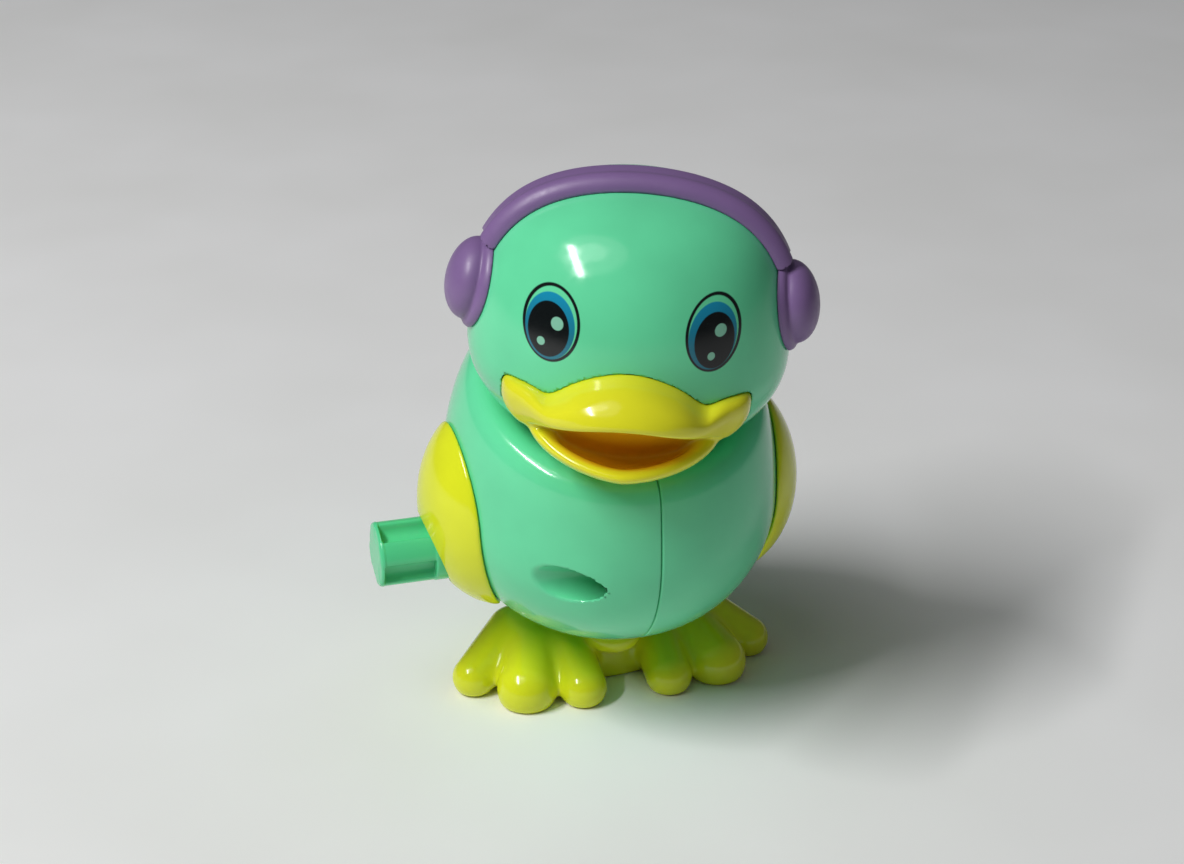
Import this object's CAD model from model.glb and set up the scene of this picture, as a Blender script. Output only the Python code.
import math

import bpy
import numpy as np
from mathutils import Matrix, Vector


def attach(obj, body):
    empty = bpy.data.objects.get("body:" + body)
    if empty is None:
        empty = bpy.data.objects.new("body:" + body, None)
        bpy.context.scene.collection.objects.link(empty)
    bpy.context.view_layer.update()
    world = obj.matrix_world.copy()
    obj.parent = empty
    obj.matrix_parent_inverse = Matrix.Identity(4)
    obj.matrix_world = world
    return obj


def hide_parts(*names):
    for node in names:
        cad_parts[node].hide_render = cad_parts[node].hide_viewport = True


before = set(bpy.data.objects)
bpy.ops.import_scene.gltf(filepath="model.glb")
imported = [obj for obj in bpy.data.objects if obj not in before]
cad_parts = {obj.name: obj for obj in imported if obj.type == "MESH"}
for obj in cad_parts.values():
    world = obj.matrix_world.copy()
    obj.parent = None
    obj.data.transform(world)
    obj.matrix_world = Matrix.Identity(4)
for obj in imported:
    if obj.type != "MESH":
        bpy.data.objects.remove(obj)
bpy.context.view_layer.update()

# A clockwork hopping duck that wears headphones. Every visible moulding is made here as the
# zero surface of a field, a function of a point's x, y and z in millimetres that is below zero
# inside the moulding and close to the distance outside. Body pieces are in the row frame.
# Head pieces are in the head's own frame: from the head's centre, looking along -Y.

MM = 0.001
WALL = 1.8
SKIN_GAP = 0.05

BODY_CENTRE = (0, 2, 38)
BODY_PLAN = (28.5, 31.0)
BODY_UP, BODY_DOWN = 36.0, 25.5
SHOULDER_FILL, BELLY_FILL = 0.32, 0.13      # 0 is an ellipse, 1 is a box

HEAD_CENTRE = (0, -9.3, 69.6)
HEAD_PLAN = (26.3, 24.75)
HEAD_UP, HEAD_DOWN = 27.4, 18.0
CROWN_FILL = 0.45
HEAD_TURN = math.radians(-17.5)
NECK_LEAN = math.radians(13.8)
NECK_AXIS = (0, -math.sin(NECK_LEAN), math.cos(NECK_LEAN))
HEAD_PLACE = (Matrix.Translation(Vector(HEAD_CENTRE) * MM)
              @ Matrix.Rotation(HEAD_TURN, 4, Vector(NECK_AXIS)))
BOWL_RADIUS, BOWL_DEPTH, BOWL_GAP = 26.9, 17.8, 0.4
NECK_RADIUS, PAD_RADIUS, WASHER_ROOM = 6.0, 11.0, 9.4
BODY_PAD, HEAD_PAD = 2.6, 2.4               # thickness of the floors round the neck post
BAND_PLANE = -2.5
HEAD_SCREW, HEAD_POST = (14.0, 12.0), 2.6
CUP_REACH, CUP_HEIGHT, CUP_TILT, CUP_CUT = 24.4, 9.0, math.radians(10), 7.95

FLAP_THICK = 1.7                            # of the beak's flap that lies on the face
BILL_WIDTH, BILL_RISE, BILL_FOOT = 13.0, 4.6, 0.9
MOUTH_CENTRE, MOUTH_SEMI = (0, -18.3, -5.6), (13.6, 12.8, 7.5)
SPRAY_SEMI = (13.9, 12.9, 7.6)              # how far the orange inside the mouth reaches
ROOF_TOP, ROOF_BEND = -2.7, 0.024
POINTED = 1.6                               # 2 is an ellipse in plan, 1 is a diamond

KNOB_AXIS = (2, 29.5)
KNOB_RADIUS, KNOB_TIP, KNOB_GRIP, KNOB_INNER = 5.6, -41.2, -31.6, -28.3
GROOVE_TURN, GROOVE_REACH, GROOVE_RADIUS = 110, 5.3, 1.9
WING_CENTRE, WING_SEMI, WING_INNER = (19.3, 2.0, 36.9), (14.0, 15.8, 18.4), 18
SCREW_AXES = ((-23.4, 33.4), (27.4, 33.4))
SCREW_SEAT, SCREW_BORE = -9.0, 3.2
HINGE = (20.0, 9.0)
TOES = ((7.8, -6.4, 4.1), (17.4, -4.2, 5.2), (25.3, 2.2, 3.8))
TOE_LIFT, FOOT_SHIFT = 2.7, 0.9
TOE_ROOT, TOE_ROOT_RADIUS, TOE_SPREAD = (9.5, 8.0, 7.0), 4.9, 0.45
LUG_INNER, LUG_OUTER, LUG_RADIUS = 6.0, 8.6, 3.0


# ---------------------------------------------------------------- fields
def soft_min(a, b, k):
    """The union of two fields with a fillet about k wide."""
    h = np.maximum(k - np.abs(a - b), 0) / k
    return np.minimum(a, b) - h * h * k / 4


def soft_max(a, b, k):
    """What two fields share, with the edge between them rounded over a width of about k."""
    return -soft_min(-a, -b, k)


def form(x, y, z, centre, plan, up, down, fill_up=0.0, fill_down=0.0):
    """A closed form with an elliptical plan and an egg's or a rounded box's outline."""
    x, y, z = x - centre[0], y - centre[1], z - centre[2]
    reach = np.where(z > 0, up, down)
    fill = np.where(z > 0, fill_up, fill_down)
    across = (x / plan[0]) ** 2 + (y / plan[1]) ** 2
    along = (z / reach) ** 2
    root = np.sqrt(np.maximum((across + along) ** 2 - 4 * fill * across * along, 1e-12))
    size = (across + along + root) / 2
    by_across = (1 + (across + along - 2 * fill * along) / root) / 2
    by_along = (1 + (across + along - 2 * fill * across) / root) / 2
    slope = 2 * np.sqrt(by_across ** 2 * ((x / plan[0] ** 2) ** 2 + (y / plan[1] ** 2) ** 2)
                        + (by_along * z / reach ** 2) ** 2)
    gauge = np.sqrt(size)
    return (gauge - 1) * 2 * gauge / np.maximum(slope, 1e-6)


def ellipsoid(x, y, z, centre, semi):
    return form(x, y, z, centre, semi[:2], semi[2], semi[2])


def rod_x(x, y, z, x0, x1, place, radius, k=0.0):
    """A round bar along X, with rounded ends where k is given."""
    side = np.hypot(y - place[0], z - place[1]) - radius
    end = np.abs(x - (x0 + x1) / 2) - (x1 - x0) / 2
    return soft_max(side, end, k) if k else np.maximum(side, end)


def rod_y(x, y, z, y0, y1, place, radius):
    side = np.hypot(x - place[0], z - place[1]) - radius
    return np.maximum(side, np.abs(y - (y0 + y1) / 2) - (y1 - y0) / 2)


def block(x, y, z, low, high, k=0.0):
    out = None
    for value, a, b in zip((x, y, z), low, high):
        side = np.abs(value - (a + b) / 2) - (b - a) / 2
        out = side if out is None else (soft_max(out, side, k) if k else np.maximum(out, side))
    return out


def tapered(x, y, z, start, r0, end, r1):
    """Two balls and the cone between them."""
    run = [b - a for a, b in zip(start, end)]
    length = sum(c * c for c in run)
    dx, dy, dz = x - start[0], y - start[1], z - start[2]
    t = np.clip((dx * run[0] + dy * run[1] + dz * run[2]) / length, 0, 1)
    away = np.sqrt((dx - t * run[0]) ** 2 + (dy - t * run[1]) ** 2 + (dz - t * run[2]) ** 2)
    return away - (r0 + t * (r1 - r0))


def about_neck(x, y, z):
    """A point's place across and along the neck axis, from the head's centre."""
    s, c = math.sin(NECK_LEAN), math.cos(NECK_LEAN)
    return x, c * y + s * z, c * z - s * y


def seat(x, y, z, grow):
    """The round form that the head's underside and the body's seat share, in the head's frame."""
    u, v, w = about_neck(x, y, z)
    radius = BOWL_RADIUS + grow
    return form(u, v, w, (0, 0, 0), (radius, radius), 1e5, BOWL_DEPTH + grow)


def neck_rod(x, y, z, low, high, radius):
    u, v, w = about_neck(x, y, z)
    return np.maximum(np.hypot(u, v) - radius, np.abs(w - (low + high) / 2) - (high - low) / 2)


def in_head(x, y, z):
    """From the row frame to the head's centre, without the head's turn."""
    return x - HEAD_CENTRE[0], y - HEAD_CENTRE[1], z - HEAD_CENTRE[2]


# ---------------------------------------------------------------- body
def egg(x, y, z):
    return form(x, y, z, BODY_CENTRE, BODY_PLAN, BODY_UP, BODY_DOWN, SHOULDER_FILL, BELLY_FILL)


def tail(x, y, z):
    s, c = math.sin(math.radians(28)), math.cos(math.radians(28))
    y, z = y - 31.5, z - 41.0
    return ellipsoid(x, c * y + s * z, c * z - s * y, (0, 0, 0), (9.0, 9.5, 3.6))


def shell_half(side):
    """One half of the body: its wall, the seat for the head, the screw posts and the lugs."""
    def field(x, y, z):
        wall = egg(x, y, z)
        hx, hy, hz = in_head(x, y, z)
        bowl = seat(hx, hy, hz, BOWL_GAP)
        space = soft_max(wall + WALL, WALL - bowl, 1.0)
        floor = -(BOWL_DEPTH + BOWL_GAP + BODY_PAD)
        space = np.maximum(space, -neck_rod(hx, hy, hz, floor, floor + 9, PAD_RADIUS))
        for place in SCREW_AXES:
            space = np.maximum(space, -rod_x(x, y, z, -40, 14, place, SCREW_BORE + 1.3))
        out = soft_max(soft_min(wall, tail(x, y, z), 3.5), -bowl, 5.5)
        for sign in (-1, 1):
            x0, x1 = sorted((sign * LUG_INNER, sign * LUG_OUTER))
            lug = block(x, y, z, (x0, HINGE[0] - LUG_RADIUS, HINGE[1]),
                        (x1, HINGE[0] + LUG_RADIUS, 20))
            boss = rod_x(x, y, z, x0, x1, HINGE, LUG_RADIUS)
            out = soft_min(out, np.minimum(lug, boss), 0.5)
        out = soft_max(out, -space, 0.1)
        out = np.maximum(out, -neck_rod(hx, hy, hz, -30, -10, NECK_RADIUS))
        out = np.maximum(out, -rod_x(x, y, z, -12, 12, HINGE, 1.25))
        out = soft_max(out, -block(x, y, z, (-4.2, 5.8, 9), (4.2, 16.2, 18)), 0.3)
        for place in SCREW_AXES:
            out = soft_max(out, -rod_x(x, y, z, -60, SCREW_SEAT + 2.4, place, SCREW_BORE, 0.6), 0.5)
            out = np.maximum(out, -rod_x(x, y, z, -12, 11, place, 1.25))
        out = np.maximum(out, -rod_x(x, y, z, -40, -20, KNOB_AXIS, KNOB_RADIUS + 0.35))
        return soft_max(out, 0.04 - side * x, 0.45)
    return field


def case_screws(x, y, z):
    """The two screws that hold the body's halves together, deep in their bores."""
    out = None
    for place in SCREW_AXES:
        head = rod_x(x, y, z, SCREW_SEAT + 1.0, SCREW_SEAT + 2.4, place, 2.5, 0.5)
        shank = rod_x(x, y, z, SCREW_SEAT + 2.0, 10.5, place, 1.2)
        slot = np.maximum(np.abs(z - place[1]) - 0.3, x - SCREW_SEAT - 1.6)
        screw = np.maximum(np.minimum(head, shank), -slot)
        out = screw if out is None else np.minimum(out, screw)
    return out


def wing(side):
    def field(x, y, z):
        centre = (side * WING_CENTRE[0], WING_CENTRE[1], WING_CENTRE[2])
        out = ellipsoid(x, y, z, centre, WING_SEMI)
        out = soft_max(out, SKIN_GAP - egg(x, y, z), 1.2)
        out = np.maximum(out, WING_INNER - side * x)
        if side < 0:
            out = soft_max(out, -rod_x(x, y, z, -60, 0, KNOB_AXIS, KNOB_RADIUS + 0.4), 0.5)
        return out
    return field


def knob(x, y, z):
    """Four broad ribs with deep grooves between them, a thin round rim and a smooth collar."""
    ribs = rod_x(x, y, z, KNOB_TIP, KNOB_INNER, KNOB_AXIS, KNOB_RADIUS - 0.05)
    for k in range(4):
        turn = math.radians(GROOVE_TURN + 90 * k)
        place = (KNOB_AXIS[0] + GROOVE_REACH * math.cos(turn),
                 KNOB_AXIS[1] + GROOVE_REACH * math.sin(turn))
        groove = rod_x(x, y, z, KNOB_TIP - 1, KNOB_GRIP, place, GROOVE_RADIUS)
        ribs = soft_max(ribs, -groove, 0.9)
    round_off = rod_x(x, y, z, KNOB_TIP, KNOB_INNER, KNOB_AXIS, KNOB_RADIUS, 1.3)
    ribs = soft_max(ribs, round_off, 0.3)
    rim = rod_x(x, y, z, KNOB_TIP, KNOB_TIP + 0.7, KNOB_AXIS, KNOB_RADIUS)
    rim = soft_max(rim, round_off, 0.3)
    collar = rod_x(x, y, z, KNOB_GRIP, KNOB_INNER, KNOB_AXIS, KNOB_RADIUS, 0.4)
    out = soft_min(soft_min(ribs, rim, 0.4), collar, 0.3)
    return np.maximum(out, -rod_x(x, y, z, -38, 0, KNOB_AXIS, 1.5))


def feet(x, y, z):
    """Two webbed feet on one moulding, hinged at the back under the belly."""
    side, spread = np.abs(x), np.abs(x - FOOT_SHIFT)
    foot = None
    for tx, ty, radius in TOES:
        root = (TOE_ROOT[0] + TOE_SPREAD * (tx - TOE_ROOT[0]), *TOE_ROOT[1:])
        toe = tapered(spread, y, z, (tx, ty, TOE_LIFT), radius, root, TOE_ROOT_RADIUS)
        foot = toe if foot is None else soft_min(foot, toe, 2.0)
    base = ellipsoid(x, y, z, (0, 11.5, 3.5), (17.5, 12.5, 11.0))
    out = soft_min(foot, base, 2.0)
    out = soft_min(out, ellipsoid(x, y, z, (0, -1.0, 9.5), (5.0, 5.0, 3.0)), 1.5)
    out = soft_max(out, 0.6 - egg(x, y, z), 0.8)
    out = np.minimum(out, block(x, y, z, (-3.2, 7.2, 6.0), (3.2, 14.8, 15.4), 0.8))
    hy, hz = HINGE
    out = np.minimum(out, rod_x(side, y, z, 2.4, 5.8, HINGE, 3.0))
    out = np.maximum(out, -block(side, y, z, (5.8, hy - 4.5, 3.5), (9.0, hy + 12, 24)))
    out = np.maximum(out, -block(side, y, z, (-2.4, hy - 3.2, hz - 4.2), (2.4, hy + 12, hz + 8)))
    out = np.maximum(out, -rod_x(x, y, z, -12, 12, HINGE, 1.3))
    return soft_max(out, -z, 0.7)


# ---------------------------------------------------------------- head, in its own frame
def face(x, y, z):
    return form(x, y, z, (0, 0, 0), HEAD_PLAN, HEAD_UP, HEAD_DOWN, CROWN_FILL, 0.0)


def bill_top(x, z):
    """Height over the flap's upper edge, which dips between its corners and the bill."""
    side = np.abs(x)
    hump = np.clip(1 - (x / BILL_WIDTH) ** 2, 0, 1)
    dip = 0.9 * np.exp(-((side - 12.2) / 2.6) ** 2)
    slope = 1.06 * np.sqrt(hump) * side / BILL_WIDTH
    return (z + BILL_FOOT - BILL_RISE * hump ** 1.5 + dip) / np.sqrt(1 + slope ** 2)


def bill_outline(x, z):
    """The flap round the mouth as seen from the front."""
    side = np.abs(x)
    corner = np.where((side > 14.1) & (z < -4.0), np.hypot(side - 14.1, z + 4.0) - 5.5,
                      np.maximum(side - 19.6, -9.5 - z))
    chin = (np.hypot(x / 14.8, (z + 6.0) / 7.0) - 1) * 9.0
    return soft_max(bill_top(x, z), soft_min(corner, np.maximum(chin, z + 3.0), 1.5), 1.8)


def pointed(x, y, z, centre, semi, power=POINTED):
    """A rounded form whose plan is narrower towards its tip than an ellipse."""
    u, v, w = ((c - c0) / c1 for c, c0, c1 in zip((x, y, z), centre, semi))
    u, v = np.abs(u) + 1e-4, np.abs(v) + 1e-4
    plan = (u ** power + v ** power) ** (1 / power)
    gauge = np.sqrt(plan ** 2 + w ** 2)
    slope = plan ** (2 - power)
    steep = np.sqrt((slope * u ** (power - 1) / semi[0]) ** 2
                    + (slope * v ** (power - 1) / semi[1]) ** 2 + (w / semi[2]) ** 2)
    return (gauge - 1) * gauge / steep


def beak(x, y, z):
    skin = face(x, y, z)
    outline = bill_outline(x, z)
    flap = soft_max(skin - FLAP_THICK, outline, 2.2)
    upper = ellipsoid(x, y, z, (0, -19.0, -2.9), (14.4, 13.8, 7.4))
    upper = soft_max(upper, bill_top(x, z) + 0.3, 1.6)
    upper = soft_max(soft_min(flap, upper, 5.5), bill_top(x, z) - 0.1, 3.0)
    roof = ROOF_TOP - ROOF_BEND * x ** 2
    rim_slope = 1 / np.sqrt(1 + (2 * ROOF_BEND * x) ** 2)
    lip = soft_max(upper, (roof - z) * rim_slope, 1.4)
    jaw = pointed(x, y, z, (0, -18.5, -6.9), (15.4, 14.2, 8.5))
    jaw = soft_max(jaw, (z + 7.2 - 0.41 * (y + 20)) * 0.925, 1.4)
    out = soft_min(lip, jaw, 0.8)
    out = soft_min(out, np.maximum(flap, np.abs(y + 17) - 12), 0.8)
    mouth = pointed(x, y, z, MOUTH_CENTRE, MOUTH_SEMI)
    mouth = soft_max(mouth, (z - roof) * rim_slope, 0.5)
    out = soft_max(out, -soft_max(mouth, 0.6 - skin, 3.0), 1.2)
    out = np.maximum(out, -(skin + 1.0))
    return np.maximum(out, y + 8)


def head_half(front):
    def field(x, y, z):
        out = soft_max(face(x, y, z), seat(x, y, z, 0.0), 1.2)
        space = out + WALL
        floor = HEAD_PAD - BOWL_DEPTH
        space = np.maximum(space, -neck_rod(x, y, z, -BOWL_DEPTH - 1, floor, PAD_RADIUS))
        space = np.minimum(space, neck_rod(x, y, z, floor, floor + 4, WASHER_ROOM))
        for side in (-1, 1):
            place = (side * HEAD_SCREW[0], HEAD_SCREW[1])
            space = np.maximum(space, -rod_y(x, y, z, -30, 30, place, HEAD_POST))
        out = np.maximum(out, -space)
        out = np.maximum(out, -neck_rod(x, y, z, -30, -10, NECK_RADIUS + SKIN_GAP))
        for side in (-1, 1):
            place = (side * HEAD_SCREW[0], HEAD_SCREW[1])
            out = np.maximum(out, -rod_y(x, y, z, -8, 18, place, 1.0))
            out = soft_max(out, -rod_y(x, y, z, 17, 50, place, 2.2), 0.4)
        if front:
            pocket = np.maximum(bill_outline(x, z) - 0.15, np.maximum(-face(x, y, z) - 1.1, y + 8))
            out = soft_max(out, -pocket, 0.2)
            return np.maximum(out, y - BAND_PLANE + 0.03)
        return np.maximum(out, BAND_PLANE + 0.03 - y)
    return field


def band(x, y, z):
    """The headband: a round ridge along its front and a lower strip behind it."""
    lift = face(x, y, z)
    ridge = np.hypot(y + 4.5, lift - 0.4) - 1.95
    strip = soft_max(np.abs(lift - 0.9) - 0.9, np.abs(y + 1.6) - 3.2, 1.4)
    out = soft_min(ridge, strip, 0.9)
    out = soft_max(out, SKIN_GAP - lift, 0.2)
    for side in (-1, 1):
        u, v, w = at_cup(x, y, z, side)
        room = np.maximum(np.hypot(u, v) - CUP_CUT, np.abs(w) - 8)
        out = soft_max(out, -room, 0.2)
    return np.maximum(out, 4.0 - z)


def at_cup(x, y, z, side):
    """A point's place across an ear cup and along its axis, which points out and a little up."""
    s, c = math.sin(CUP_TILT), math.cos(CUP_TILT)
    dx, dy, dz = side * x - CUP_REACH, y - BAND_PLANE, z - CUP_HEIGHT
    return dx * s - dz * c, dy, dx * c + dz * s


def cup(side):
    def field(x, y, z):
        u, v, w = at_cup(x, y, z, side)
        lift = face(x, y, z)
        flange = soft_max(np.hypot(u, v) - 7.9, lift - 1.2, 1.2)
        dome = ellipsoid(u, v, w, (0, 0, 1.5), (6.8, 6.8, 4.3))
        out = soft_min(flange, np.maximum(dome, -w), 0.5)
        return soft_max(out, SKIN_GAP - lift, 0.3)
    return field


# ---------------------------------------------------------------- from a field to a mesh
BLOCK = 4                                   # grid points along each side of a coarse block
NEAR = 1.8                                  # how far from the surface a block still counts
LINKS = [(a, b) for a in range(8) for b in range(a + 1, 8) if a ^ b in (1, 2, 4)]


def sample(field, axes):
    """The field on a grid: its value near the surface, and only its sign elsewhere."""
    numbers, middles, halves = [], [], []
    for axis in axes:
        number = np.arange(len(axis)) // BLOCK
        starts = np.arange(number[-1] + 1) * BLOCK
        ends = np.minimum(starts + BLOCK, len(axis) - 1)
        numbers.append(number)
        middles.append((axis[starts] + axis[ends]) / 2)
        halves.append((axis[ends] - axis[starts]) / 2)
    rough = field(*np.meshgrid(*middles, indexing="ij"))
    reach = np.sqrt(sum(h ** 2 for h in np.meshgrid(*halves, indexing="ij")))
    pick = np.ix_(*numbers)
    values = rough[pick]
    i, j, k = np.nonzero((np.abs(rough) < NEAR * reach + 0.3)[pick])
    values[i, j, k] = field(axes[0][i], axes[1][j], axes[2][k])
    return values


def net(values, axes):
    """One point in every cell that the surface crosses, and a quad across every such edge."""
    inside = values < 0
    size = [len(axis) - 1 for axis in axes]
    count = np.zeros(size, np.int8)
    for corner in range(8):
        a, b, c = corner & 1, corner >> 1 & 1, corner >> 2
        count += inside[a:a + size[0], b:b + size[1], c:c + size[2]]
    i, j, k = np.nonzero((count > 0) & (count < 8))
    value, place = [], []
    for corner in range(8):
        a, b, c = i + (corner & 1), j + (corner >> 1 & 1), k + (corner >> 2)
        value.append(values[a, b, c])
        place.append(np.stack([axes[0][a], axes[1][b], axes[2][c]], 1))
    total = np.zeros((len(i), 3))
    hits = np.zeros((len(i), 1))
    for a, b in LINKS:
        cross = np.nonzero((value[a] < 0) != (value[b] < 0))[0]
        part = (value[a][cross] / (value[a][cross] - value[b][cross]))[:, None]
        total[cross] += place[a][cross] * (1 - part) + place[b][cross] * part
        hits[cross] += 1
    ids = np.full(size, -1, np.int64)
    ids[i, j, k] = np.arange(len(i))
    quads = []
    for turn in ((0, 1, 2), (1, 2, 0), (2, 0, 1)):
        solid = inside.transpose(turn)
        cell = ids.transpose(turn)
        i, j, k = np.nonzero(solid[:-1, 1:-1, 1:-1] != solid[1:, 1:-1, 1:-1])
        j, k = j + 1, k + 1
        quad = np.stack([cell[i, j - 1, k - 1], cell[i, j, k - 1], cell[i, j, k],
                         cell[i, j - 1, k]], 1)
        quads.append(np.where(solid[i, j, k][:, None], quad, quad[:, ::-1]))
    return total / hits, np.concatenate(quads)


def gradient(field, points, step=0.01):
    out = np.empty_like(points)
    for axis in range(3):
        move = np.zeros(3)
        move[axis] = step
        out[:, axis] = (field(*(points + move).T) - field(*(points - move).T)) / (2 * step)
    return out


def settle(field, points, limit, rounds):
    """Moves points onto the field's zero surface."""
    for _ in range(rounds):
        slope = gradient(field, points)
        steep = np.maximum((slope ** 2).sum(1), 0.1)
        move = slope * (field(*points.T) / steep)[:, None]
        length = np.maximum(np.linalg.norm(move, axis=1), 1e-9)
        points = points - move * np.minimum(1, limit / length)[:, None]
    return points


def spread(field, points, quads, cell):
    """Evens out the points along the surface, and puts them back on it."""
    ends = np.concatenate([quads[:, [a, (a + 1) % 4]] for a in range(4)])
    ends = np.concatenate([ends, ends[:, ::-1]])
    number = np.bincount(ends[:, 0], minlength=len(points))
    for _ in range(2):
        mean = np.stack([np.bincount(ends[:, 0], points[ends[:, 1], axis], len(points))
                         for axis in range(3)], 1) / number[:, None]
        slope = gradient(field, points)
        slope /= np.maximum(np.linalg.norm(slope, axis=1), 1e-6)[:, None]
        move = mean - points
        move -= slope * (move * slope).sum(1)[:, None]
        points = settle(field, points + 0.5 * move, cell / 3, 1)
    return points


def moulding(name, field, low, high, cell, extra_x=()):
    """A smooth mesh of the field's surface inside a box."""
    axes = [np.linspace(a, b, int((b - a) / cell) + 2) for a, b in zip(low, high)]
    axes[0] = np.unique(np.concatenate([axes[0], extra_x]))
    points, quads = net(sample(field, axes), axes)
    points = settle(field, points, cell / 2, 2)
    points = spread(field, points, quads, cell)
    slope = gradient(field, points)
    slope /= np.maximum(np.linalg.norm(slope, axis=1), 1e-6)[:, None]
    mesh = bpy.data.meshes.new(name)
    mesh.from_pydata((points * MM).tolist(), [], quads.tolist())
    mesh.shade_smooth()
    mesh.normals_split_custom_set_from_vertices(slope.tolist())
    piece = bpy.data.objects.new(name, mesh)
    bpy.context.scene.collection.objects.link(piece)
    return piece


def build(name, field, low, high, cell, body, nodes, material, extra_x=()):
    piece = moulding(name, field, low, high, cell, extra_x)
    if body == "head":
        piece.data.transform(HEAD_PLACE)
    piece.data.materials.append(material)
    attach(piece, body)
    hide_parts(*nodes)
    return piece


# ---------------------------------------------------------------- materials
class Nodes:
    """Short names for the nodes that the finishes below share."""

    def __init__(self, name):
        self.material = bpy.data.materials.new(name)
        self.material.use_nodes = True
        self.tree = self.material.node_tree
        self.shader = self.tree.nodes["Principled BSDF"]
        self.place = self.add("ShaderNodeTexCoord").outputs["Object"]

    def head_place(self):
        """A point's x, y and z in the head's own frame."""
        back = HEAD_PLACE.inverted()
        turn = self.add("ShaderNodeMapping")
        self.put(turn.inputs["Vector"], self.place)
        turn.inputs["Location"].default_value = back.translation
        turn.inputs["Rotation"].default_value = back.to_euler()
        split = self.add("ShaderNodeSeparateXYZ")
        self.put(split.inputs["Vector"], turn.outputs["Vector"])
        return split.outputs

    def add(self, kind, **values):
        node = self.tree.nodes.new(kind)
        for key, value in values.items():
            setattr(node, key, value)
        return node

    def put(self, socket, value):
        if isinstance(value, bpy.types.NodeSocket):
            self.tree.links.new(value, socket)
        else:
            socket.default_value = value

    def math(self, operation, *values):
        node = self.add("ShaderNodeMath", operation=operation)
        for socket, value in zip(node.inputs, values):
            self.put(socket, value)
        return node.outputs[0]

    def noise(self, size, detail=2.0, place=None):
        """Noise whose features are about size millimetres across, from 0 to 1."""
        node = self.add("ShaderNodeTexNoise")
        self.put(node.inputs["Vector"], place or self.place)
        node.inputs["Scale"].default_value = 1 / (size * MM)
        node.inputs["Detail"].default_value = detail
        return node.outputs["Fac"]

    def span(self, value, low, high, a=0.3, b=0.7):
        node = self.add("ShaderNodeMapRange")
        for socket, number in zip(node.inputs, (value, a, b, low, high)):
            self.put(socket, number)
        return node.outputs["Result"]

    def mix(self, part, first, second):
        node = self.add("ShaderNodeMix", data_type="RGBA")
        self.put(node.inputs["Factor"], part)
        self.put(node.inputs["A"], first)
        self.put(node.inputs["B"], second)
        return node.outputs["Result"]

    def bump(self, height, depth, before=None):
        """Relief of that depth in millimetres."""
        node = self.add("ShaderNodeBump")
        self.put(node.inputs["Height"], height)
        node.inputs["Distance"].default_value = depth * MM
        if before:
            self.put(node.inputs["Normal"], before)
        return node.outputs["Normal"]


def tone(red, green, blue, factor=1.0):
    """A colour given as it is seen on a screen, from 0 to 255, made lighter or darker."""
    linear = []
    for value in (red, green, blue):
        value /= 255
        value = value / 12.92 if value <= 0.04045 else ((value + 0.055) / 1.055) ** 2.4
        linear.append(min(1.0, value * factor))
    return (*linear, 1.0)


def plastic(name, colour, gloss=(0.10, 0.17), paint=None):
    """Moulded plastic: faint flow marks in its colour, fine scuffs in its gloss, and the slight
    waviness and grain of a moulded surface. Paint may put a pattern over the colour."""
    n = Nodes(name)
    flow = n.noise(14.0, 3.0)
    base = n.mix(n.span(flow, 0, 1), tone(*colour, 0.94), tone(*colour, 1.05))
    speck = n.add("ShaderNodeTexVoronoi")
    n.put(speck.inputs["Vector"], n.place)
    speck.inputs["Scale"].default_value = 1 / (9.0 * MM)
    dust = n.span(speck.outputs["Distance"], 0.55, 0, 0.012, 0.026)
    base = n.mix(dust, base, tone(*colour, 0.25))
    if paint:
        base = paint(n, base)
    n.put(n.shader.inputs["Base Color"], base)
    scuff = n.noise(1.1, 4.0)
    n.put(n.shader.inputs["Roughness"], n.span(scuff, gloss[0], gloss[1]))
    wave = n.bump(n.noise(5.0, 1.0), 0.02)
    n.put(n.shader.inputs["Normal"], n.bump(n.noise(0.35, 2.0), 0.0016, wave))
    n.shader.inputs["IOR"].default_value = 1.5
    n.shader.inputs["Specular IOR Level"].default_value = 0.5
    return n.material


def metal(name, colour, rough=(0.22, 0.38), brushed=(1.0, 1.0, 18.0)):
    """Stamped or turned metal with drawn lines and a little tarnish."""
    n = Nodes(name)
    stretch = n.add("ShaderNodeMapping")
    n.put(stretch.inputs["Vector"], n.place)
    stretch.inputs["Scale"].default_value = brushed
    lines = n.noise(2.0, 4.0, stretch.outputs["Vector"])
    tarnish = n.noise(4.0, 3.0)
    n.put(n.shader.inputs["Base Color"],
          n.mix(n.span(tarnish, 0, 1), tone(*colour, 0.72), tone(*colour, 1.05)))
    n.put(n.shader.inputs["Roughness"], n.span(lines, rough[0], rough[1]))
    n.put(n.shader.inputs["Normal"], n.bump(lines, 0.01))
    n.shader.inputs["Metallic"].default_value = 1.0
    return n.material


# Each eye, in millimetres in the head's frame seen from the front: its centre, its tilt in
# degrees, then for each layer the offset from the centre, half width and half height.
EYES = (
    ((-12.6, 9.8), 3.0, ((0, 0), (4.5, 5.95)), ((-0.15, -0.5), (3.87, 5.1)),
     ((-0.33, -1.0), (3.22, 4.25)), ((0.9, 0.27), (0.96, 1.02)), ((-1.27, -3.1), (0.62, 0.66))),
    ((12.5, 10.15), -2.0, ((0, 0), (4.4, 6.05)), ((-0.1, -0.5), (3.8, 5.15)),
     ((0.2, -1.2), (3.15, 4.35)), ((1.1, 0.3), (0.92, 1.0)), ((-0.2, -3.55), (0.58, 0.64))),
)
OUTLINE = 0.5


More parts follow.
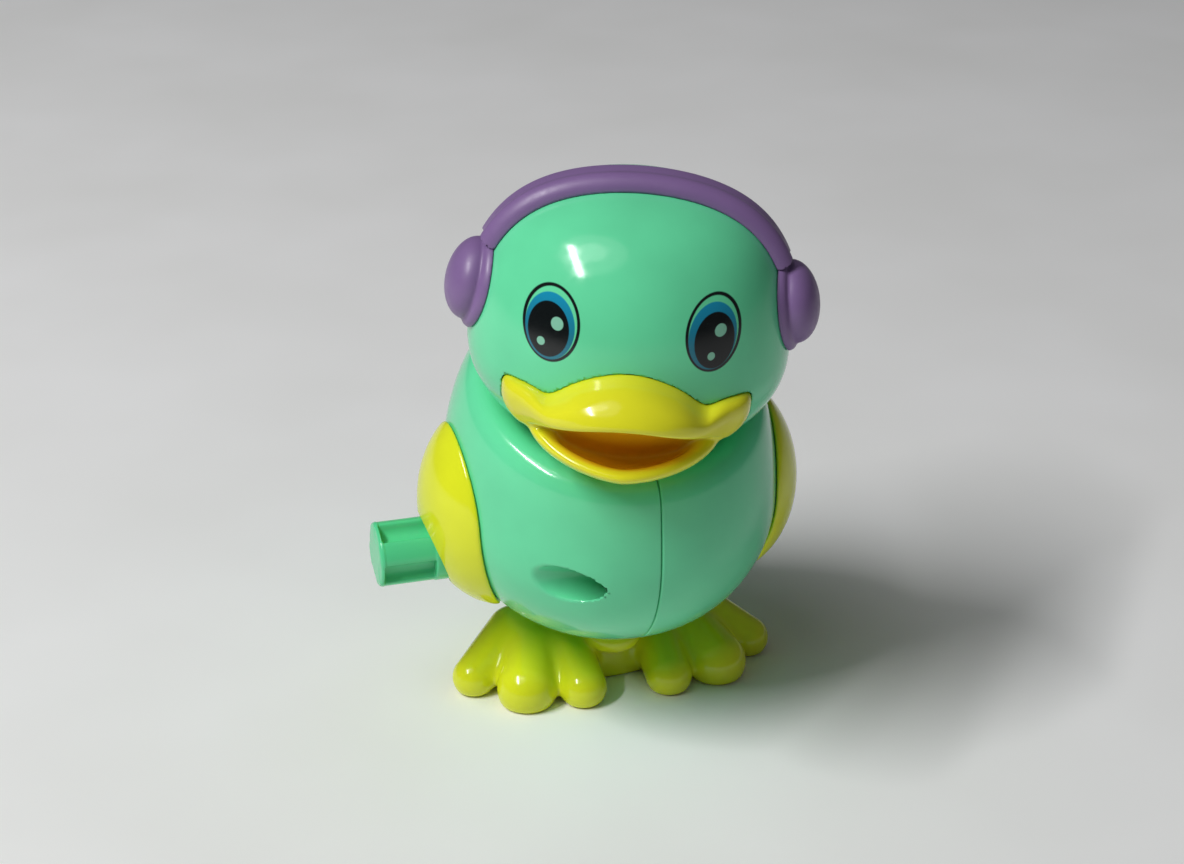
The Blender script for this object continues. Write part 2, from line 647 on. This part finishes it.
def eyes(n, base):
    x, _, z = n.head_place()
    for centre, tilt, *layers in EYES:
        dx = n.math("SUBTRACT", x, centre[0] * MM)
        dz = n.math("SUBTRACT", z, centre[1] * MM)
        c, s = math.cos(math.radians(tilt)), math.sin(math.radians(tilt))
        across = n.math("SUBTRACT", n.math("MULTIPLY", dx, c), n.math("MULTIPLY", dz, s))
        up = n.math("ADD", n.math("MULTIPLY", dx, s), n.math("MULTIPLY", dz, c))

        def inside(offset, half, soft=0.06):
            u = n.math("DIVIDE", n.math("SUBTRACT", across, offset[0] * MM), half[0] * MM)
            v = n.math("DIVIDE", n.math("SUBTRACT", up, offset[1] * MM), half[1] * MM)
            away = n.math("SQRT", n.math("ADD", n.math("MULTIPLY", u, u), n.math("MULTIPLY", v, v)))
            edge = soft / half[0]
            return n.span(away, 1.0, 0.0, 1 - edge, 1 + edge)

        lid, iris, pupil, glint, spark = layers
        white = base
        base = n.mix(inside(*lid), base, tone(16, 22, 22))
        inner = (lid[1][0] - OUTLINE, lid[1][1] - OUTLINE)
        base = n.mix(inside(lid[0], inner), base, white)
        blue = n.mix(n.span(up, 0, 1, -2.0 * MM, 4.5 * MM), tone(28, 116, 138), tone(20, 142, 180))
        base = n.mix(inside(*iris), base, blue)
        base = n.mix(inside(*pupil), base, tone(10, 16, 17))
        for light in (glint, spark):
            base = n.mix(inside(*light), base, tone(132, 196, 168))
    return base


def beak_paint(n, base):
    """The mouth is sprayed orange inside, fading out towards its rim."""
    x, y, z = n.head_place()
    u = n.math("DIVIDE", x, SPRAY_SEMI[0] * MM)
    v = n.math("DIVIDE", n.math("SUBTRACT", y, MOUTH_CENTRE[1] * MM), SPRAY_SEMI[1] * MM)
    w = n.math("DIVIDE", n.math("SUBTRACT", z, MOUTH_CENTRE[2] * MM), SPRAY_SEMI[2] * MM)
    plan = n.math("ADD", n.math("MULTIPLY", u, u), n.math("MULTIPLY", v, v))
    away = n.math("SQRT", n.math("ADD", plan, n.math("MULTIPLY", w, w)))
    deep = n.span(n.math("SQRT", plan), 1.0, 0.0, 0.66, 0.98)
    inside = n.span(away, 1.0, 0.0, 1.0, 1.06)
    return n.mix(n.math("MULTIPLY", deep, inside), base, tone(238, 180, 24))


GREEN = (104, 222, 165)
YELLOW = (226, 232, 36)
finish = {
    "green_shell": plastic("green_plastic", GREEN),
    "green_face": plastic("green_plastic_painted", GREEN, paint=eyes),
    "green_knob": plastic("green_knob_plastic", (88, 214, 150), (0.16, 0.26)),
    "yellow_plastic": plastic("yellow_plastic", YELLOW),
    "yellow_beak": plastic("yellow_beak_plastic", (232, 230, 40), paint=beak_paint),
    "purple_plastic": plastic("purple_plastic", (128, 100, 150), (0.34, 0.46)),
    "white_plastic": plastic("white_nylon", (232, 230, 222), (0.3, 0.42)),
    "gear_plastic": plastic("gear_nylon", (214, 206, 184), (0.32, 0.45)),
    "plate_steel": metal("plated_steel", (196, 192, 180)),
    "bright_steel": metal("bright_steel", (206, 206, 206), (0.14, 0.26), (18.0, 1.0, 1.0)),
    "spring_steel": metal("spring_steel", (128, 132, 142), (0.2, 0.34)),
    "screw_steel": metal("screw_steel", (170, 168, 162), (0.26, 0.4), (1.0, 1.0, 1.0)),
}

# ---------------------------------------------------------------- pieces
SEAM = (-0.5, -0.38, -0.28, -0.2, -0.14, -0.09, -0.05, 0.0, 0.05, 0.09, 0.14, 0.2, 0.28, 0.38, 0.5)
build("half_right", shell_half(-1), (-30, -30.5, 9), (1, 43, 70), 0.5, "body",
      ["body_shell_right"], finish["green_shell"], SEAM)
build("half_left", shell_half(1), (-1, -30.5, 9), (30, 43, 70), 0.5, "body",
      ["body_shell_left"], finish["green_shell"], SEAM)
build("wing_cover_right", wing(-1), (-34, -14, 18), (-17, 19, 56), 0.3, "body",
      ["wing_right"], finish["yellow_plastic"])
build("wing_cover_left", wing(1), (17, -14, 18), (34, 19, 56), 0.3, "body",
      ["wing_left"], finish["yellow_plastic"])
build("winder", knob, (-42, -4.5, 23), (-27.5, 8.5, 36), 0.17, "winder",
      ["winding_knob"], finish["green_knob"])
build("feet_moulding", feet, (-31, -12, -1), (32, 27, 22), 0.36, "feet",
      ["feet_base"], finish["yellow_plastic"])
build("head_front", head_half(True), (-28, -27, -20), (28, -1, 29), 0.45, "head",
      ["head_shell_front"], finish["green_face"])
build("head_back", head_half(False), (-28, -4, -20), (28, 27, 29), 0.5, "head",
      ["head_shell_back"], finish["green_shell"])
build("beak_moulding", beak, (-22, -36, -17), (22, -7, 8), 0.3, "head",
      ["beak"], finish["yellow_beak"])
build("head_strap", band, (-30, -8, 3), (30, 3, 31), 0.3, "head",
      ["headband"], finish["purple_plastic"])
build("cup_cover_right", cup(-1), (-34, -13, -1), (-17, 8, 21), 0.25, "head",
      ["ear_cup_right"], finish["purple_plastic"])
build("cup_cover_left", cup(1), (17, -13, -1), (34, 8, 21), 0.25, "head",
      ["ear_cup_left"], finish["purple_plastic"])

build("case_fixings", case_screws, (-9, -27, 30), (12, 31, 37), 0.24, "body",
      ["body_screws"], finish["screw_steel"])

# ---------------------------------------------------------------- carried-over CAD nodes
kept = {
    "white_plastic": ("neck_post", "neck_retainer"),
    "gear_plastic": ("great_wheel", "second_gear", "third_gear", "kicker_shaft", "kicker_cam"),
    "plate_steel": ("motor_plate_right", "motor_plate_left"),
    "bright_steel": ("motor_pillars", "winding_arbor", "foot_hinge_pin"),
    "spring_steel": ("mainspring", "foot_return_spring"),
    "screw_steel": ("head_screws", "neck_screw", "motor_screws"),
}
for slot_name, names in kept.items():
    for name in names:
        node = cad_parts[name]
        node.data.materials.clear()
        node.data.materials.append(finish[slot_name])

# ---------------------------------------------------------------- floor, light and camera
half = 4.0
floor_mesh = bpy.data.meshes.new("floor")
floor_mesh.from_pydata([(-half, -half, 0), (half, -half, 0), (half, half, 0), (-half, half, 0)],
                       [], [(0, 1, 2, 3)])
floor = bpy.data.objects.new("floor", floor_mesh)
bpy.context.scene.collection.objects.link(floor)
paper = Nodes("pale_floor")
paper.put(paper.shader.inputs["Base Color"],
          paper.mix(paper.span(paper.noise(60.0), 0, 1), tone(243, 243, 242), tone(249, 249, 249)))
paper.shader.inputs["Roughness"].default_value = 0.6
paper.shader.inputs["Specular IOR Level"].default_value = 0.2
floor_mesh.materials.append(paper.material)

target = Vector((-3.5, 0, 48.5)) * MM


def lamp(name, azimuth, elevation, distance, size, power, shape="RECTANGLE"):
    """An area light that faces the duck. Azimuth 0 is in front of it, 90 on its left side."""
    a, e = math.radians(azimuth), math.radians(elevation)
    back = Vector((math.sin(a) * math.cos(e), -math.cos(a) * math.cos(e), math.sin(e)))
    data = bpy.data.lights.new(name, "AREA")
    data.shape = shape
    data.size, data.size_y = size
    data.energy = power
    light = bpy.data.objects.new(name, data)
    light.location = target + back * distance
    light.rotation_euler = back.to_track_quat("Z", "Y").to_euler()
    bpy.context.scene.collection.objects.link(light)
    return light


def aim(x, y, z):
    return Vector((x, y, z)).normalized()


# A tube high on the duck's right, whose reflection is the streak on its forehead.
TUBE_REACH = 1.1
ends = [target + aim(-0.529, 0.060, 0.846) * TUBE_REACH,
        target + aim(-0.666, -0.416, 0.620) * TUBE_REACH]
tube = lamp("tube", -73.5, 49, TUBE_REACH, (0.055, (ends[0] - ends[1]).length), 8.0)
out = (tube.location - target).normalized()
along = (ends[0] - ends[1]).normalized()
along = (along - out * along.dot(out)).normalized()
tube.rotation_euler = Matrix((along.cross(out), along, out)).transposed().to_euler()
# Two round soft boxes, one inside the other's outline, so that their glow has no hard edge.
lamp("soft_core", -68, 62, 1.6, (0.55, 0.55), 1.6, "ELLIPSE")
lamp("soft_wide", -66, 60, 1.65, (1.3, 1.3), 4.4, "ELLIPSE")

world = bpy.data.worlds.new("studio")
world.use_nodes = True
world.node_tree.nodes["Background"].inputs["Color"].default_value = (0.95, 0.97, 1.0, 1)
world.node_tree.nodes["Background"].inputs["Strength"].default_value = 0.08
bpy.context.scene.world = world
bpy.context.scene.view_settings.view_transform = "Standard"

camera_data = bpy.data.cameras.new("camera")
camera_data.sensor_width = 36.0
camera_data.lens = 79.05
camera = bpy.data.objects.new("camera", camera_data)
yaw, rise, reach = math.radians(16.0), math.radians(25.5), 440 * MM
away = Vector((-math.sin(yaw) * math.cos(rise), -math.cos(yaw) * math.cos(rise), math.sin(rise)))
camera.location = target + away * reach
camera.rotation_euler = away.to_track_quat("Z", "Y").to_euler()
bpy.context.scene.collection.objects.link(camera)
bpy.context.scene.camera = camera
